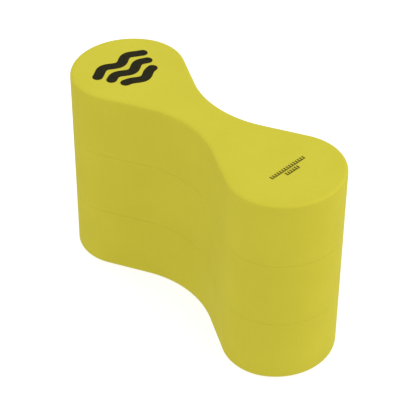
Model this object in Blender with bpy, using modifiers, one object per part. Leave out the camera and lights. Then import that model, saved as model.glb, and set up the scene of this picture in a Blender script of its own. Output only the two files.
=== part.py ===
"""Pull buoy: a figure-eight swimming float, cut from three foam sheets that are glued in a stack.

The float stands on its end. Its outline lies in the XY plane, long along X, with a leg recess on +Y
and on -Y, and the sheets are stacked along Z from the resting face at z = 0. Units are metres.
"""
import bmesh
import bpy
from math import acos, atan, atan2, ceil, cos, hypot, pi, radians, sin

# The outline: each quarter is a tip arc, a shoulder arc, a straight flank and half of a recess arc.
LENGTH = 0.240
WAIST = 0.0305
TIP_RADIUS = 0.0445
TIP_HALF_ANGLE = radians(50)
SHOULDER_RADIUS = 0.0367
RECESS_RADIUS = 0.0756
ARC_STEP = radians(5)

# The stack: equal foam sheets with a glue joint between neighbours.
SHEET = 0.050
GLUE_JOINT = 0.001
GLUE_FILM = 0.0004
GLUE_INSET = 0.0015
LAYER_NAMES = ("foam_layer_bottom", "foam_layer_middle", "foam_layer_top")
FILM_NAMES = ("lower_glue_film", "upper_glue_film")
HEIGHT = len(LAYER_NAMES) * SHEET + len(FILM_NAMES) * GLUE_JOINT

# The sanded edge round the two outer faces.
RIM_RADIUS = 0.0030
RIM_SEGMENTS = 4

# The screen prints on the top face: a plate of ink each, just clear of the foam.
INK = 0.0003
INK_CLEARANCE = 0.0003
# The marks on a lobe are printed slightly askew: turned together about the point that they are placed by.
PRINT_TURN = radians(4)
WAVES_AT = (-0.0771, -0.0012)
TICKS_AT = (0.0828, 0.0012)
# Wave marks on the -X lobe, as (offset along X, length along Y), outermost first.
WAVE_BARS = ((-0.0126, 0.052), (0.0, 0.043), (0.0126, 0.034))
WAVE_PITCH = 0.023
WAVE_HEIGHT = 0.0024
WAVE_STROKE = 0.0076
WAVE_STRAIGHT_END = 0.003
WAVE_STEP = 0.001
WAVE_CAP_STEP = radians(20)
# Rows of tick marks on the +X lobe, as (name, offset along X, number of ticks).
TICK_ROWS = (("print_tick_row_long", -0.0021, 15), ("print_tick_row_short", 0.0021, 6))
TICK_PITCH = 0.00225
TICK_WIDTH = 0.00115
TICK_LENGTH = 0.0030
TICK_SPINE = 0.0008

# Each material's colour and roughness.
FINISHES = {
    "eva_foam": ((0.61, 0.56, 0.045), 0.65),
    "contact_adhesive": ((0.52, 0.45, 0.06), 0.40),
    "print_ink": ((0.022, 0.020, 0.018), 0.50),
    "faint_ink": ((0.17, 0.14, 0.02), 0.60),
}

WELD_DISTANCE = 0.00001
# A face is part of an end face when its normal is this close to Z.
FACES_Z = 0.9
SHARP_ANGLE = radians(40)


def start_empty():
    """Clear the file's objects, and return the collection that the float's pieces go in."""
    for thing in list(bpy.data.objects):
        bpy.data.objects.remove(thing, do_unlink=True)
    collection = bpy.data.collections.new("pull_buoy")
    bpy.context.scene.collection.children.link(collection)
    return collection


def make_material(name):
    """A plain non-metal surface of one colour."""
    colour, roughness = FINISHES[name]
    material = bpy.data.materials.new(name)
    material.use_nodes = True
    shader = material.node_tree.nodes["Principled BSDF"]
    shader.inputs["Base Color"].default_value = (*colour, 1.0)
    shader.inputs["Roughness"].default_value = roughness
    shader.inputs["Metallic"].default_value = 0.0
    return material


def arc(centre_x, centre_y, radius, start, end, coarsest=ARC_STEP):
    """Points along an arc about a centre, both ends included."""
    steps = ceil(abs(end - start) / coarsest)
    angles = [start + (end - start) * step / steps for step in range(steps + 1)]
    return [(centre_x + radius * cos(angle), centre_y + radius * sin(angle)) for angle in angles]


def quarter_outline(inset):
    """The outline from the +X tip to the middle of the +Y recess, moved inwards by inset."""
    tip_x = LENGTH / 2 - TIP_RADIUS
    shoulder_x = tip_x + (TIP_RADIUS - SHOULDER_RADIUS) * cos(TIP_HALF_ANGLE)
    shoulder_y = (TIP_RADIUS - SHOULDER_RADIUS) * sin(TIP_HALF_ANGLE)
    recess_y = WAIST / 2 + RECESS_RADIUS
    # The flank touches the shoulder circle and the recess circle from opposite sides.
    away_x = -shoulder_x
    away_y = recess_y - shoulder_y
    flank = atan2(away_y, away_x) - acos((SHOULDER_RADIUS + RECESS_RADIUS) / hypot(away_x, away_y))
    tip = arc(tip_x, 0, TIP_RADIUS - inset, 0, TIP_HALF_ANGLE)
    shoulder = arc(shoulder_x, shoulder_y, SHOULDER_RADIUS - inset, TIP_HALF_ANGLE, flank)
    recess = arc(0, recess_y, RECESS_RADIUS + inset, flank + pi, 1.5 * pi)
    return tip + shoulder[1:] + recess


def float_outline(inset=0.0):
    """The whole figure-eight outline, anticlockwise from the +X tip."""
    quarter = quarter_outline(inset)
    upper = quarter + [(-x, y) for x, y in reversed(quarter[:-1])]
    lower = [(x, -y) for x, y in reversed(upper[1:-1])]
    return upper + lower


def flat_solid(name, outline, bottom, top, material, collection):
    """A flat plate with the given outline between two heights, as one closed mesh."""
    curve = bpy.data.curves.new(name + "_outline", "CURVE")
    curve.dimensions = "2D"
    curve.fill_mode = "BOTH"
    curve.extrude = (top - bottom) / 2
    spline = curve.splines.new("POLY")
    spline.points.add(len(outline) - 1)
    for point, (x, y) in zip(spline.points, outline):
        point.co = (x, y, 0, 1)
    spline.use_cyclic_u = True
    guide = bpy.data.objects.new(name + "_outline", curve)
    guide.location.z = (bottom + top) / 2
    collection.objects.link(guide)
    bpy.context.view_layer.update()

    evaluated = guide.evaluated_get(bpy.context.evaluated_depsgraph_get())
    mesh = bpy.data.meshes.new_from_object(evaluated)
    mesh.name = name
    weld_caps(mesh)
    mesh.materials.clear()
    mesh.materials.append(material)
    solid = bpy.data.objects.new(name, mesh)
    solid.matrix_world = guide.matrix_world.copy()
    collection.objects.link(solid)
    bpy.data.objects.remove(guide, do_unlink=True)
    return solid


def weld_caps(mesh):
    """Join the two caps to the wall, and make each cap one face."""
    work = bmesh.new()
    work.from_mesh(mesh)
    bmesh.ops.remove_doubles(work, verts=work.verts, dist=WELD_DISTANCE)
    for side in (1, -1):
        cap = [face for face in work.faces if face.normal.z * side > FACES_Z]
        bmesh.ops.dissolve_faces(work, faces=cap)
    bmesh.ops.recalc_face_normals(work, faces=work.faces)
    work.to_mesh(mesh)
    work.free()


def round_rim(solid, side):
    """Round the edge of one end face: side is 1 for the top face and -1 for the bottom face."""
    work = bmesh.new()
    work.from_mesh(solid.data)
    weight = work.edges.layers.float.new("bevel_weight_edge")
    for face in work.faces:
        if face.normal.z * side > FACES_Z:
            for edge in face.edges:
                edge[weight] = 1.0
    work.to_mesh(solid.data)
    work.free()
    bevel = solid.modifiers.new("rim", "BEVEL")
    bevel.limit_method = "WEIGHT"
    bevel.width = RIM_RADIUS
    bevel.segments = RIM_SEGMENTS


def shade_round(solid):
    """Smooth shading on the curved wall, with the end faces kept crisp."""
    solid.data.shade_smooth()
    solid.data.set_sharp_from_angle(angle=SHARP_ANGLE)


def build_foam_layers(material, collection):
    """The three foam sheets, with the rim rounded on the outer face of the first and the last."""
    layers = []
    for number, name in enumerate(LAYER_NAMES):
        bottom = number * (SHEET + GLUE_JOINT)
        layers.append(flat_solid(name, float_outline(), bottom, bottom + SHEET, material, collection))
        shade_round(layers[-1])
    round_rim(layers[0], -1)
    round_rim(layers[-1], 1)


def build_glue_films(material, collection):
    """The film of contact adhesive in the middle of each joint, kept back from the outline."""
    for number, name in enumerate(FILM_NAMES):
        middle = (number + 1) * (SHEET + GLUE_JOINT) - GLUE_JOINT / 2
        bottom = middle - GLUE_FILM / 2
        film = flat_solid(name, float_outline(GLUE_INSET), bottom, bottom + GLUE_FILM, material, collection)
        shade_round(film)


def wave_outline(middle_x, length):
    """A wavy bar of constant stroke that runs along Y, straight just before its round ends."""
    radius = WAVE_STROKE / 2
    reach = length / 2 - radius
    bend_reach = reach - WAVE_STRAIGHT_END
    steps = round(2 * reach / WAVE_STEP)
    middle = []
    for step in range(steps + 1):
        y = -reach + 2 * reach * step / steps
        bend_y = max(-bend_reach, min(bend_reach, y))
        phase = 2 * pi * bend_y / WAVE_PITCH
        slope = -2 * pi * WAVE_HEIGHT / WAVE_PITCH * sin(phase)
        x = middle_x + WAVE_HEIGHT * cos(phase) + slope * (y - bend_y)
        middle.append((x, y, atan(slope)))
    inner = [(x + radius * cos(lean), y - radius * sin(lean)) for x, y, lean in middle[1:-1]]
    outer = [(x - radius * cos(lean), y + radius * sin(lean)) for x, y, lean in reversed(middle[1:-1])]
    last_x, last_y, last_lean = middle[-1]
    last_cap = arc(last_x, last_y, radius, -last_lean, pi - last_lean, WAVE_CAP_STEP)
    first_x, first_y, first_lean = middle[0]
    first_cap = arc(first_x, first_y, radius, pi - first_lean, 2 * pi - first_lean, WAVE_CAP_STEP)
    return inner + last_cap + outer + first_cap


def tick_outline(middle_x, count):
    """A comb: a thin spine along Y with evenly spaced ticks on its -X side."""
    back_x = middle_x + TICK_LENGTH / 2
    spine_x = back_x - TICK_SPINE
    tip_x = back_x - TICK_LENGTH
    first_y = -(count - 1) * TICK_PITCH / 2
    teeth = []
    for number in range(count):
        low = first_y + number * TICK_PITCH - TICK_WIDTH / 2
        high = low + TICK_WIDTH
        teeth += [(spine_x, low), (tip_x, low), (tip_x, high), (spine_x, high)]
    ends = [(back_x, teeth[-1][1]), (back_x, teeth[0][1])]
    return teeth[1:-1] + ends


def askew(outline, place):
    """A mark's outline turned by the print's skew, and moved to its place on the top face."""
    place_x, place_y = place
    turned = []
    for x, y in outline:
        turned.append((place_x + x * cos(PRINT_TURN) - y * sin(PRINT_TURN),
                       place_y + x * sin(PRINT_TURN) + y * cos(PRINT_TURN)))
    return turned


def build_prints(black, olive, collection):
    """The ink plates of the wave marks and of the tick rows."""
    bottom = HEIGHT + INK_CLEARANCE
    for number, (offset_x, length) in enumerate(WAVE_BARS, start=1):
        outline = askew(wave_outline(offset_x, length), WAVES_AT)
        flat_solid(f"print_wave_{number}", outline, bottom, bottom + INK, black, collection)
    for name, offset_x, count in TICK_ROWS:
        outline = askew(tick_outline(offset_x, count), TICKS_AT)
        flat_solid(name, outline, bottom, bottom + INK, olive, collection)


def main():
    collection = start_empty()
    build_foam_layers(make_material("eva_foam"), collection)
    build_glue_films(make_material("contact_adhesive"), collection)
    build_prints(make_material("print_ink"), make_material("faint_ink"), collection)


main()
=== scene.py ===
from math import acos, atan, atan2, ceil, cos, hypot, pi, radians, sin

import bmesh
import bpy
from mathutils import Matrix, Vector, noise


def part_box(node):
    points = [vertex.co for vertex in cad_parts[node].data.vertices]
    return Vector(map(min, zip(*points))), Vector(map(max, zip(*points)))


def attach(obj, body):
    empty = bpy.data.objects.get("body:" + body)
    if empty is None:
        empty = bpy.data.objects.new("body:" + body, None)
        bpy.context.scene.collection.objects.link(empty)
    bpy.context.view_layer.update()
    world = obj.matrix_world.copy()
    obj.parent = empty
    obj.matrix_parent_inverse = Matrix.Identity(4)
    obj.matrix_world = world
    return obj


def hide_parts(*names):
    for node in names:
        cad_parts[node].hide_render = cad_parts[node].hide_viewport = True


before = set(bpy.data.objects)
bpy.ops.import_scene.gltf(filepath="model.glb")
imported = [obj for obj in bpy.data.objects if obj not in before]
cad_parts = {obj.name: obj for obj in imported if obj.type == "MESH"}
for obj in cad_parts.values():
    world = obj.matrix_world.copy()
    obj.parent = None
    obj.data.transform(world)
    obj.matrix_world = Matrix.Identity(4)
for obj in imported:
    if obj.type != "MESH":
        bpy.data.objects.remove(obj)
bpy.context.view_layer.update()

# The outline's driving dimensions. Its length and the stack's heights come from the frame.
LENGTH = 2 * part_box("foam_layer_middle")[1].x
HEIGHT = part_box("foam_layer_top")[1].z
WAIST = 0.0305
TIP_RADIUS = 0.0445
TIP_HALF_ANGLE = radians(50)
SHOULDER_RADIUS = 0.0367
RECESS_RADIUS = 0.0756
OUTLINE_STEP = 0.0013

# The foam sheets, and the dried film of adhesive between two of them.
LAYER_NAMES = ("foam_layer_bottom", "foam_layer_middle", "foam_layer_top")
FILM_NAMES = ("lower_glue_film", "upper_glue_film")
RIM_RADIUS = 0.0028
RIM_STEPS = 9
SEAM_RADIUS = 0.00005
SEAM_STEPS = 3
WALL_STEP = 0.0025
FACE_RINGS = 22
JOINT_GAP = 0.00009
FILM_CLEARANCE = 0.00001
FILM_BACK = 0.00011
FILM_BACK_CHANGE = 0.00008
WELD_DISTANCE = 0.00005
TINY_EDGE = 0.000001

# Waves in the foam's surface: the height of the slow and the fine ones, then how fast each one changes
# along the surface and, on a wall, up it.
WALL_SLOW, WALL_FINE = 0.00016, 0.00005
WALL_SLOW_ALONG, WALL_SLOW_UP = 24, 7
WALL_FINE_ALONG, WALL_FINE_UP = 95, 22
FACE_SLOW, FACE_FINE = 0.00012, 0.00003
FACE_SLOW_ALONG, FACE_FINE_ALONG = 19, 120
FACE_SINK = 0.00015
FILM_ALONG, FILM_UP = 160, 50

# Screen prints. The marks on a lobe are turned together about the point that they are placed by.
INK_LIFT = 0.00002
INK_THICKNESS = 0.00008
INK_GRID = 0.0022
PRINT_TURN = radians(4)
WAVES_AT = (-0.0771, -0.0012)
TICKS_AT = (0.0828, 0.0012)
# Wave marks, as (offset along X, length along Y), outermost first.
WAVE_BARS = ((-0.0126, 0.052), (0.0, 0.043), (0.0126, 0.034))
WAVE_PITCH = 0.023
WAVE_HEIGHT = 0.0024
WAVE_STROKE = 0.0076
WAVE_STRAIGHT_END = 0.003
WAVE_STEP = 0.00055
WAVE_CAP_STEPS = 18
# Rows of tick marks, as (name, offset along X, number of ticks).
TICK_ROWS = (("print_tick_row_long", -0.0021, 15), ("print_tick_row_short", 0.0021, 6))
TICK_PITCH = 0.00225
TICK_WIDTH = 0.00115
TICK_LENGTH = 0.0030
TICK_SPINE = 0.0008

# How often each pattern in the foam, the glue and the ink repeats per metre. Streaks run up the walls.
MOTTLES = 26
GRAINS = 1300
PITS = 620
SKIN_BUMPS = 330
CELLS = 1500
FOAM_GLOSS = 700
COLOUR_STREAKS = (420, 420, 14)
RELIEF_STREAKS = (520, 520, 10)
GLUE_MOTTLES = 300
GLUE_BUMPS = 900
GLUE_GLOSS = 400
PINHOLES = 1700
THIN_PLACES = 480
INK_GLOSS = 900
FLOOR_MOTTLES = 3

# How deep the relief is.
SKIN_DEPTH = 0.00010
STREAK_DEPTH = 0.00004
CELL_DEPTH = 0.00007
PIT_DEPTH = 0.00020
GLUE_DEPTH = 0.00005
INK_DEPTH = 0.00006

# Colours, and the share of bare foam in the thinnest places of each ink.
FOAM_BASE = (0.530, 0.480, 0.0415)
FOAM_LIGHT = (0.556, 0.508, 0.046)
FOAM_DEEP = (0.492, 0.436, 0.033)
# Painted shade inside the open cells' pits.
PAINTED_PIT_SHADE = (0.20, 0.16, 0.006)
# Painted shade: the walls' colour is multiplied down below the end faces' colour, blue the most.
PAINTED_WALL_SHADE = (0.92, 0.905, 0.88)
GLUE_DARK = (0.40, 0.34, 0.022)
GLUE_LIGHT = (0.47, 0.41, 0.028)
BLACK_INK = (0.0095, 0.009, 0.0035)
BLACK_INK_THIN = 0.04
FAINT_INK = (0.085, 0.068, 0.008)
FAINT_INK_THIN = 0.4
FOAM_THROUGH_INK = (0.30, 0.26, 0.012)
FLOOR_DARK = (0.39, 0.39, 0.39)
FLOOR_LIGHT = (0.41, 0.41, 0.41)
WHITE = (1.0, 1.0, 1.0, 1.0)

# The studio and its camera.
FLOOR_SIZE = 60
FLOOR_DROP = 0.0002
FLOOR_GLOW = 0.71
SURROUND_STRENGTH = 1.0
SOFTBOX_SIZE = 1.6
SOFTBOX_DISTANCE = 2.3
# Each softbox as (name, azimuth and elevation in degrees, power in watts); azimuth 0 is +X and 90 is +Y.
SOFTBOXES = (("overhead_softbox", 270, 80, 8.9), ("side_softbox", 45, 15, 13.6))
CAMERA_PLACE = (0.6277, -0.5734, 0.7459)
CAMERA_HEADING = radians(47.727)
CAMERA_DIP = radians(38.139)
CAMERA_ROLL = radians(0.290)
LENS_MM = 136.12
SENSOR_MM = 36


# ---------------------------------------------------------------- outline

def arc(centre_x, centre_y, radius, start, end, steps):
    """Points along an arc about a centre, both ends included, as (x, y, normal x, normal y)."""
    angles = [start + (end - start) * step / steps for step in range(steps + 1)]
    return [(centre_x + radius * cos(a), centre_y + radius * sin(a), cos(a), sin(a)) for a in angles]


def outline_steps(length):
    """The number of steps for a stretch of the outline."""
    return max(2, ceil(length / OUTLINE_STEP))


def quarter_outline():
    """Points and outward normals from the +X tip to the middle of the +Y recess."""
    tip_x = LENGTH / 2 - TIP_RADIUS
    shoulder_x = tip_x + (TIP_RADIUS - SHOULDER_RADIUS) * cos(TIP_HALF_ANGLE)
    shoulder_y = (TIP_RADIUS - SHOULDER_RADIUS) * sin(TIP_HALF_ANGLE)
    recess_y = WAIST / 2 + RECESS_RADIUS
    # The flank touches the shoulder circle and the recess circle from opposite sides.
    away_x = -shoulder_x
    away_y = recess_y - shoulder_y
    flank = atan2(away_y, away_x) - acos((SHOULDER_RADIUS + RECESS_RADIUS) / hypot(away_x, away_y))

    tip = arc(tip_x, 0, TIP_RADIUS, 0, TIP_HALF_ANGLE, outline_steps(TIP_RADIUS * TIP_HALF_ANGLE))
    shoulder_steps = outline_steps(SHOULDER_RADIUS * (flank - TIP_HALF_ANGLE))
    shoulder = arc(shoulder_x, shoulder_y, SHOULDER_RADIUS, TIP_HALF_ANGLE, flank, shoulder_steps)
    recess_steps = outline_steps(RECESS_RADIUS * (flank - pi / 2))
    recess = arc(0, recess_y, RECESS_RADIUS, flank + pi, 1.5 * pi, recess_steps)
    recess = [(x, y, -nx, -ny) for x, y, nx, ny in recess]
    start, end = shoulder[-1], recess[0]
    flank_steps = outline_steps(hypot(end[0] - start[0], end[1] - start[1]))
    straight = []
    for number in range(1, flank_steps):
        share = number / flank_steps
        x = start[0] + (end[0] - start[0]) * share
        y = start[1] + (end[1] - start[1]) * share
        straight.append((x, y, start[2], start[3]))
    return tip + shoulder[1:] + straight + recess


def float_outline():
    """The whole outline, anticlockwise from the +X tip, as (x, y, normal x, normal y)."""
    quarter = quarter_outline()
    upper = quarter + [(-x, y, -nx, ny) for x, y, nx, ny in reversed(quarter[:-1])]
    lower = [(x, -y, nx, -ny) for x, y, nx, ny in reversed(upper[1:-1])]
    return upper + lower


def middle_line(x):
    """The place on the float's middle line that a point of the outline shrinks towards."""
    reach = LENGTH / 2 - TIP_RADIUS
    return max(-reach, min(reach, x))


# ---------------------------------------------------------------- waves in the surface
# The bare numbers in a noise's place only choose which stretch of the noise is used.

def wall_wave(x, y, z):
    """How far the cut wall stands off its outline. It changes more along the cut than up the stack."""
    slow = noise.noise(Vector((x * WALL_SLOW_ALONG, y * WALL_SLOW_ALONG, z * WALL_SLOW_UP)))
    fine = noise.noise(Vector((x * WALL_FINE_ALONG + 5, y * WALL_FINE_ALONG, z * WALL_FINE_UP)))
    return WALL_SLOW * slow + WALL_FINE * fine


def face_wave(x, y):
    """How far the printed end face stands off its plane."""
    slow = noise.noise(Vector((x * FACE_SLOW_ALONG + 3, y * FACE_SLOW_ALONG - 7, 1.7)))
    fine = noise.noise(Vector((x * FACE_FINE_ALONG, y * FACE_FINE_ALONG, 4.1)))
    return FACE_SLOW * slow + FACE_FINE * fine - FACE_SINK


def film_back(x, y, z):
    """How far the glue film's edge stays behind the foam's wall."""
    return FILM_BACK + FILM_BACK_CHANGE * noise.noise(Vector((x * FILM_ALONG, y * FILM_ALONG, z * FILM_UP)))


# ---------------------------------------------------------------- meshes

def mesh_piece(name, work):
    """A new object from a bmesh."""
    bmesh.ops.recalc_face_normals(work, faces=work.faces)
    mesh = bpy.data.meshes.new(name)
    work.to_mesh(mesh)
    work.free()
    piece = bpy.data.objects.new(name, mesh)
    bpy.context.scene.collection.objects.link(piece)
    return piece


def join_rings(work, inner, outer):
    """A band of faces between two closed rings of vertices."""
    count = len(inner)
    for index in range(count):
        following = (index + 1) % count
        work.faces.new((inner[index], inner[following], outer[following], outer[index]))


def wall_profile(low, high, low_radius, low_steps, high_radius, high_steps):
    """The wall's section from its lower edge to its upper edge, as (inset, z)."""
    rows = []
    for step in range(low_steps + 1):
        angle = pi / 2 * step / low_steps
        rows.append((low_radius * (1 - sin(angle)), low + low_radius * (1 - cos(angle))))
    wall_low = low + low_radius
    wall_high = high - high_radius
    count = max(2, round((wall_high - wall_low) / WALL_STEP))
    for step in range(1, count):
        rows.append((0.0, wall_low + (wall_high - wall_low) * step / count))
    for step in range(high_steps + 1):
        angle = pi / 2 * step / high_steps
        rows.append((high_radius * (1 - cos(angle)), high - high_radius * (1 - sin(angle))))
    return rows


def foam_sheet(name, low, high, low_rim, high_rim):
    """One foam sheet: a rounded wall, and two end faces of rings that close on the middle line."""
    outline = float_outline()
    low_radius, low_steps = (RIM_RADIUS, RIM_STEPS) if low_rim else (SEAM_RADIUS, SEAM_STEPS)
    high_radius, high_steps = (RIM_RADIUS, RIM_STEPS) if high_rim else (SEAM_RADIUS, SEAM_STEPS)
    work = bmesh.new()

    def wall_ring(inset, z):
        ring = []
        # The upper rim blends from the wall into the waves of the top face.
        rim_share = max(0.0, (z - high + RIM_RADIUS) / RIM_RADIUS) if high_rim else 0.0
        for x, y, nx, ny in outline:
            off = wall_wave(x, y, z) - inset
            ring.append(work.verts.new((x + nx * off, y + ny * off, z + face_wave(x, y) * rim_share)))
        return ring

    def face_ring(share, z, radius, waves):
        ring = []
        for x, y, nx, ny in outline:
            off = wall_wave(x, y, z) - radius
            edge_x, edge_y = x + nx * off, y + ny * off
            middle_x = middle_line(edge_x)
            at_x = middle_x + (edge_x - middle_x) * share
            at_y = edge_y * share
            ring.append(work.verts.new((at_x, at_y, z + (face_wave(at_x, at_y) if waves else 0.0))))
        return ring

    shares = [number / FACE_RINGS for number in range(FACE_RINGS)]
    rings = [face_ring(share, low, low_radius, False) for share in shares]
    for inset, z in wall_profile(low, high, low_radius, low_steps, high_radius, high_steps):
        rings.append(wall_ring(inset, z))
    rings += [face_ring(share, high, high_radius, high_rim) for share in reversed(shares)]
    for inner, outer in zip(rings, rings[1:]):
        join_rings(work, inner, outer)
    bmesh.ops.remove_doubles(work, verts=rings[0] + rings[-1], dist=WELD_DISTANCE)
    bmesh.ops.dissolve_degenerate(work, edges=work.edges, dist=TINY_EDGE)
    sheet = mesh_piece(name, work)
    sheet.data.shade_smooth()
    return sheet


def glue_line(name, low, high):
    """A dried film of adhesive whose edge wanders a little behind the foam's surface."""
    work = bmesh.new()
    rows = []
    for z in (low, high):
        row = []
        for x, y, nx, ny in float_outline():
            off = wall_wave(x, y, low) - film_back(x, y, low)
            row.append(work.verts.new((x + nx * off, y + ny * off, z)))
        rows.append(row)
    join_rings(work, rows[0], rows[1])
    work.faces.new(rows[0][::-1])
    work.faces.new(rows[1])
    return mesh_piece(name, work)


def ink_plate(name, outline):
    """A thin coat of ink with the given outline, draped on the waves of the top face."""
    work = bmesh.new()
    work.faces.new([work.verts.new((x, y, 0)) for x, y in outline])
    for axis in (0, 1):
        low = min(point[axis] for point in outline)
        high = max(point[axis] for point in outline)
        normal = Vector((0, 0, 0))
        normal[axis] = 1
        cuts = ceil((high - low) / INK_GRID)
        for number in range(1, cuts):
            place = normal * (low + (high - low) * number / cuts)
            everything = work.verts[:] + work.edges[:] + work.faces[:]
            bmesh.ops.bisect_plane(work, geom=everything, plane_co=place, plane_no=normal, dist=TINY_EDGE)
    raised = bmesh.ops.extrude_face_region(work, geom=work.faces[:])
    tops = {item for item in raised["geom"] if isinstance(item, bmesh.types.BMVert)}
    for vert in work.verts:
        foam = HEIGHT + face_wave(vert.co.x, vert.co.y)
        vert.co.z = foam + INK_LIFT + (INK_THICKNESS if vert in tops else 0.0)
    return mesh_piece(name, work)


def wave_outline(middle_x, length):
    """A wavy bar of constant stroke that runs along Y, straight just before its round ends."""
    radius = WAVE_STROKE / 2
    reach = length / 2 - radius
    bend_reach = reach - WAVE_STRAIGHT_END
    steps = round(2 * reach / WAVE_STEP)
    middle = []
    for step in range(steps + 1):
        y = -reach + 2 * reach * step / steps
        bend_y = max(-bend_reach, min(bend_reach, y))
        phase = 2 * pi * bend_y / WAVE_PITCH
        slope = -2 * pi * WAVE_HEIGHT / WAVE_PITCH * sin(phase)
        x = middle_x + WAVE_HEIGHT * cos(phase) + slope * (y - bend_y)
        middle.append((x, y, atan(slope)))
    inner = [(x + radius * cos(lean), y - radius * sin(lean)) for x, y, lean in middle[1:-1]]
    outer = [(x - radius * cos(lean), y + radius * sin(lean)) for x, y, lean in reversed(middle[1:-1])]
    last_x, last_y, last_lean = middle[-1]
    last_cap = arc(last_x, last_y, radius, -last_lean, pi - last_lean, WAVE_CAP_STEPS)
    first_x, first_y, first_lean = middle[0]
    first_cap = arc(first_x, first_y, radius, pi - first_lean, 2 * pi - first_lean, WAVE_CAP_STEPS)
    return inner + [point[:2] for point in last_cap] + outer + [point[:2] for point in first_cap]


def tick_outline(middle_x, count):
    """A comb: a thin spine along Y with evenly spaced ticks on its -X side."""
    back_x = middle_x + TICK_LENGTH / 2
    spine_x = back_x - TICK_SPINE
    tip_x = back_x - TICK_LENGTH
    first_y = -(count - 1) * TICK_PITCH / 2
    teeth = []
    for number in range(count):
        low = first_y + number * TICK_PITCH - TICK_WIDTH / 2
        high = low + TICK_WIDTH
        teeth += [(spine_x, low), (tip_x, low), (tip_x, high), (spine_x, high)]
    ends = [(back_x, teeth[-1][1]), (back_x, teeth[0][1])]
    return teeth[1:-1] + ends


def askew(outline, place):
    """A mark's outline turned by the print's skew, and moved to its place on the top face."""
    place_x, place_y = place
    turned = []
    for x, y in outline:
        turned.append((place_x + x * cos(PRINT_TURN) - y * sin(PRINT_TURN),
                       place_y + x * sin(PRINT_TURN) + y * cos(PRINT_TURN)))
    return turned


# ---------------------------------------------------------------- materials

class Nodes:
    """A material's node tree, with short calls for the nodes that the looks need."""

    def __init__(self, name):
        self.material = bpy.data.materials.new(name)
        self.material.use_nodes = True
        self.tree = self.material.node_tree
        self.shader = self.tree.nodes["Principled BSDF"]
        self.place = self.add("ShaderNodeTexCoord").outputs["Object"]

    def add(self, kind, **settings):
        """A new node."""
        node = self.tree.nodes.new(kind)
        for key, value in settings.items():
            setattr(node, key, value)
        return node

    def link(self, source, target):
        """A wire from an output to an input."""
        self.tree.links.new(source, target)

    def feed(self, socket, value):
        """A wire to an input, or a fixed value on it."""
        if isinstance(value, bpy.types.NodeSocket):
            self.link(value, socket)
        else:
            socket.default_value = value

    def stretched(self, scale):
        """The place, scaled by its own factor along each axis."""
        node = self.add("ShaderNodeMapping")
        self.link(self.place, node.inputs["Vector"])
        node.inputs["Scale"].default_value = scale
        return node.outputs["Vector"]

    def noise(self, scale, detail=3.0, rough=0.5, place=None):
        """Cloudy noise from 0 to 1."""
        node = self.add("ShaderNodeTexNoise")
        self.link(place or self.place, node.inputs["Vector"])
        node.inputs["Scale"].default_value = scale
        node.inputs["Detail"].default_value = detail
        node.inputs["Roughness"].default_value = rough
        return node.outputs["Fac"]

    def cells(self, scale):
        """Scattered cells, each with the distance to its middle and a random colour."""
        node = self.add("ShaderNodeTexVoronoi")
        self.link(self.place, node.inputs["Vector"])
        node.inputs["Scale"].default_value = scale
        return node

    def span(self, value, from_low, from_high, to_low, to_high, kind="LINEAR"):
        """A value carried over from one range to another."""
        node = self.add("ShaderNodeMapRange", interpolation_type=kind)
        self.link(value, node.inputs["Value"])
        for key, number in zip(("From Min", "From Max", "To Min", "To Max"),
                               (from_low, from_high, to_low, to_high)):
            node.inputs[key].default_value = number
        return node.outputs["Result"]

    def math(self, operation, first, second=0.0):
        """Arithmetic on one or two values."""
        node = self.add("ShaderNodeMath", operation=operation)
        self.feed(node.inputs[0], first)
        self.feed(node.inputs[1], second)
        return node.outputs[0]

    def mix(self, share, first, second, blend="MIX"):
        """Two colours, mixed by a share."""
        node = self.add("ShaderNodeMix", data_type="RGBA", blend_type=blend)
        self.feed(node.inputs[0], share)
        self.feed(node.inputs[6], first if not isinstance(first, tuple) else (*first, 1.0))
        self.feed(node.inputs[7], second if not isinstance(second, tuple) else (*second, 1.0))
        return node.outputs[2]

    def bump(self, height, distance, strength, below=None):
        """A surface normal with relief, on top of the relief below it."""
        node = self.add("ShaderNodeBump")
        node.inputs["Strength"].default_value = strength
        node.inputs["Distance"].default_value = distance
        self.link(height, node.inputs["Height"])
        if below is not None:
            self.link(below, node.inputs["Normal"])
        return node.outputs["Normal"]

    def set(self, **values):
        """The shader's inputs by name, with _ for a space."""
        for key, value in values.items():
            self.feed(self.shader.inputs[key.replace("_", " ")], value)


def wall_mask(nodes):
    """1 on the cut walls and 0 on the flat end faces."""
    normal = nodes.add("ShaderNodeNewGeometry").outputs["Normal"]
    split = nodes.add("ShaderNodeSeparateXYZ")
    nodes.link(normal, split.inputs[0])
    upright = nodes.math("ABSOLUTE", split.outputs["Z"])
    return nodes.span(upright, 0.35, 0.85, 1.0, 0.0, "SMOOTHSTEP")


def foam_colour(nodes, walls):
    """Lime foam: slow mottling, fine cells, on the walls faint upright cutting streaks, and painted shade
    that darkens the walls.
    """
    slow = nodes.span(nodes.noise(MOTTLES, 2.0), 0.3, 0.7, 0.0, 1.0)
    colour = nodes.mix(slow, FOAM_BASE, FOAM_LIGHT)
    fine = nodes.span(nodes.noise(GRAINS, 2.0, 0.6), 0.35, 0.7, 0.0, 0.35)
    colour = nodes.mix(fine, colour, FOAM_DEEP)
    streak_noise = nodes.noise(1.0, 2.0, 0.6, nodes.stretched(COLOUR_STREAKS))
    streaks = nodes.math("MULTIPLY", nodes.span(streak_noise, 0.45, 0.75, 0.0, 0.12), walls)
    colour = nodes.mix(streaks, colour, FOAM_DEEP)
    # Painted shade: the walls get a darker copy of the foam's colour than the end faces.
    cut = nodes.mix(1.0, colour, PAINTED_WALL_SHADE, "MULTIPLY")
    return nodes.mix(walls, colour, cut)


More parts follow.
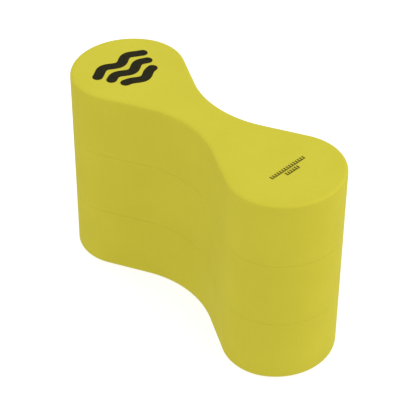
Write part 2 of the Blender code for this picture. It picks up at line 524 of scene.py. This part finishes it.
def foam_pits(nodes):
    """1 in the middle of the few open cells and 0 elsewhere."""
    cells = nodes.cells(PITS)
    depth = nodes.span(cells.outputs["Distance"], 0.04, 0.16, 1.0, 0.0, "SMOOTHSTEP")
    chance = nodes.add("ShaderNodeSeparateColor")
    nodes.link(cells.outputs["Color"], chance.inputs[0])
    return nodes.math("MULTIPLY", depth, nodes.span(chance.outputs[0], 0.90, 0.93, 0.0, 1.0))


def foam_relief(nodes, walls, pits):
    """The foam's skin, the cutting streaks on the walls, the cells and the pits."""
    streaks = nodes.noise(1.0, 3.0, 0.6, nodes.stretched(RELIEF_STREAKS))
    normal = nodes.bump(nodes.noise(SKIN_BUMPS, 2.0, 0.5), SKIN_DEPTH, 0.55)
    normal = nodes.bump(nodes.math("MULTIPLY", streaks, walls), STREAK_DEPTH, 0.3, normal)
    normal = nodes.bump(nodes.noise(CELLS, 3.0, 0.6), CELL_DEPTH, 0.8, normal)
    return nodes.bump(nodes.math("SUBTRACT", 1.0, pits), PIT_DEPTH, 0.8, normal)


def foam_material():
    """Matte closed-cell EVA foam."""
    nodes = Nodes("lime_eva_foam")
    walls = wall_mask(nodes)
    pits = foam_pits(nodes)
    # The pits' middles are darkened with painted shade, on top of their bump.
    colour = nodes.mix(nodes.math("MULTIPLY", pits, 0.55), foam_colour(nodes, walls), PAINTED_PIT_SHADE)
    roughness = nodes.span(nodes.noise(FOAM_GLOSS, 3.0), 0.3, 0.7, 0.66, 0.78)
    nodes.set(Base_Color=colour, Roughness=roughness, Normal=foam_relief(nodes, walls, pits),
              Specular_IOR_Level=0.05)
    return nodes.material


def glue_material():
    """Dried contact adhesive, a little darker and glossier than the foam."""
    nodes = Nodes("dried_contact_adhesive")
    colour = nodes.mix(nodes.noise(GLUE_MOTTLES), GLUE_DARK, GLUE_LIGHT)
    normal = nodes.bump(nodes.noise(GLUE_BUMPS), GLUE_DEPTH, 0.6)
    roughness = nodes.span(nodes.noise(GLUE_GLOSS), 0.3, 0.7, 0.28, 0.42)
    nodes.set(Base_Color=colour, Roughness=roughness, Normal=normal)
    return nodes.material


def ink_material(name, ink, most_foam):
    """Matte screen ink, with pinholes and thin places where up to most_foam of the foam shows through."""
    nodes = Nodes(name)
    pinholes = nodes.span(nodes.noise(PINHOLES, 2.0, 0.6), 0.66, 0.74, 0.0, 1.0)
    thin = nodes.span(nodes.noise(THIN_PLACES, 3.0, 0.6), 0.35, 0.75, 0.0, most_foam)
    foam_share = nodes.math("MAXIMUM", nodes.math("MULTIPLY", pinholes, 0.30), thin)
    colour = nodes.mix(foam_share, ink, FOAM_THROUGH_INK)
    normal = nodes.bump(nodes.noise(CELLS, 3.0, 0.6), INK_DEPTH, 0.7)
    roughness = nodes.span(nodes.noise(INK_GLOSS, 3.0), 0.3, 0.7, 0.52, 0.68)
    nodes.set(Base_Color=colour, Roughness=roughness, Normal=normal, Specular_IOR_Level=0.05)
    return nodes.material


def floor_material():
    """A plain pale studio floor with a glow of its own, so that it stays white beside the float."""
    nodes = Nodes("pale_floor")
    colour = nodes.mix(nodes.noise(FLOOR_MOTTLES, 2.0), FLOOR_DARK, FLOOR_LIGHT)
    nodes.set(Base_Color=colour, Roughness=0.9, Specular_IOR_Level=0.0,
              Emission_Color=WHITE, Emission_Strength=FLOOR_GLOW)
    return nodes.material


# ---------------------------------------------------------------- the float

def place_piece(piece, material, node):
    """Give a piece its material, attach it to the root body, and hide the node of the frame that it stands
    for.
    """
    piece.data.materials.append(material)
    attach(piece, "root")
    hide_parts(node)


def joint_heights():
    """The height of the middle of each glue joint."""
    neighbours = zip(LAYER_NAMES, LAYER_NAMES[1:])
    return [(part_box(lower)[1].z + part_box(upper)[0].z) / 2 for lower, upper in neighbours]


def build_foam(joints, material):
    """The three sheets. Their hidden faces meet the glue films in the middle of each joint."""
    lows = [0.0] + [joint + JOINT_GAP / 2 for joint in joints]
    highs = [joint - JOINT_GAP / 2 for joint in joints] + [HEIGHT]
    for name, low, high in zip(LAYER_NAMES, lows, highs):
        lowest = name == LAYER_NAMES[0]
        highest = name == LAYER_NAMES[-1]
        sheet = foam_sheet(name.replace("foam_layer", "foam_sheet"), low, high, lowest, highest)
        place_piece(sheet, material, name)


def build_glue(joints, material):
    """The film of adhesive in each joint, just clear of the foam above and below it."""
    half = JOINT_GAP / 2 - FILM_CLEARANCE
    for name, joint in zip(FILM_NAMES, joints):
        line = glue_line(name.replace("film", "line"), joint - half, joint + half)
        place_piece(line, material, name)


def build_prints(black, faint):
    """The wave marks on the -X lobe and the rows of tick marks on the +X lobe."""
    for number, (offset_x, length) in enumerate(WAVE_BARS, start=1):
        bar = ink_plate(f"wave_mark_{number}", askew(wave_outline(offset_x, length), WAVES_AT))
        place_piece(bar, black, f"print_wave_{number}")
    for name, offset_x, count in TICK_ROWS:
        row = ink_plate(name.replace("print_", "") + "_mark", askew(tick_outline(offset_x, count), TICKS_AT))
        place_piece(row, faint, name)


# ---------------------------------------------------------------- the studio

def build_floor():
    """A wide floor, just below the float."""
    bpy.ops.mesh.primitive_plane_add(size=FLOOR_SIZE, location=(0, 0, -FLOOR_DROP))
    floor = bpy.context.object
    floor.name = "floor"
    floor.data.materials.append(floor_material())


def softbox(name, azimuth, elevation, power):
    """A round soft lamp that faces the float from a direction."""
    data = bpy.data.lights.new(name, "AREA")
    data.shape = "DISK"
    data.size = SOFTBOX_SIZE
    data.energy = power
    lamp = bpy.data.objects.new(name, data)
    bpy.context.scene.collection.objects.link(lamp)
    level = cos(radians(elevation))
    back = Vector((level * cos(radians(azimuth)), level * sin(radians(azimuth)), sin(radians(elevation))))
    lamp.location = Vector((0, 0, HEIGHT / 2)) + SOFTBOX_DISTANCE * back
    lamp.rotation_mode = "QUATERNION"
    lamp.rotation_quaternion = back.to_track_quat("Z", "Y")


def build_light():
    """An even white surround and the softboxes."""
    world = bpy.data.worlds.new("studio")
    bpy.context.scene.world = world
    world.use_nodes = True
    surround = world.node_tree.nodes["Background"]
    surround.inputs["Color"].default_value = WHITE
    surround.inputs["Strength"].default_value = SURROUND_STRENGTH
    for name, azimuth, elevation, power in SOFTBOXES:
        softbox(name, azimuth, elevation, power)


def build_camera():
    """A long lens, from above the lobe with the tick marks."""
    data = bpy.data.cameras.new("camera")
    data.sensor_width = SENSOR_MM
    data.lens = LENS_MM
    camera = bpy.data.objects.new("camera", data)
    bpy.context.scene.collection.objects.link(camera)
    heading = Matrix.Rotation(CAMERA_HEADING, 4, "Z")
    dip = Matrix.Rotation(pi / 2 - CAMERA_DIP, 4, "X")
    roll = Matrix.Rotation(CAMERA_ROLL, 4, "Z")
    camera.matrix_world = Matrix.Translation(CAMERA_PLACE) @ heading @ dip @ roll
    bpy.context.scene.camera = camera


def main():
    bpy.context.scene.view_settings.view_transform = "Standard"
    joints = joint_heights()
    build_foam(joints, foam_material())
    build_glue(joints, glue_material())
    build_prints(ink_material("black_screen_ink", BLACK_INK, BLACK_INK_THIN),
                 ink_material("faint_screen_ink", FAINT_INK, FAINT_INK_THIN))
    build_floor()
    build_light()
    build_camera()


main()
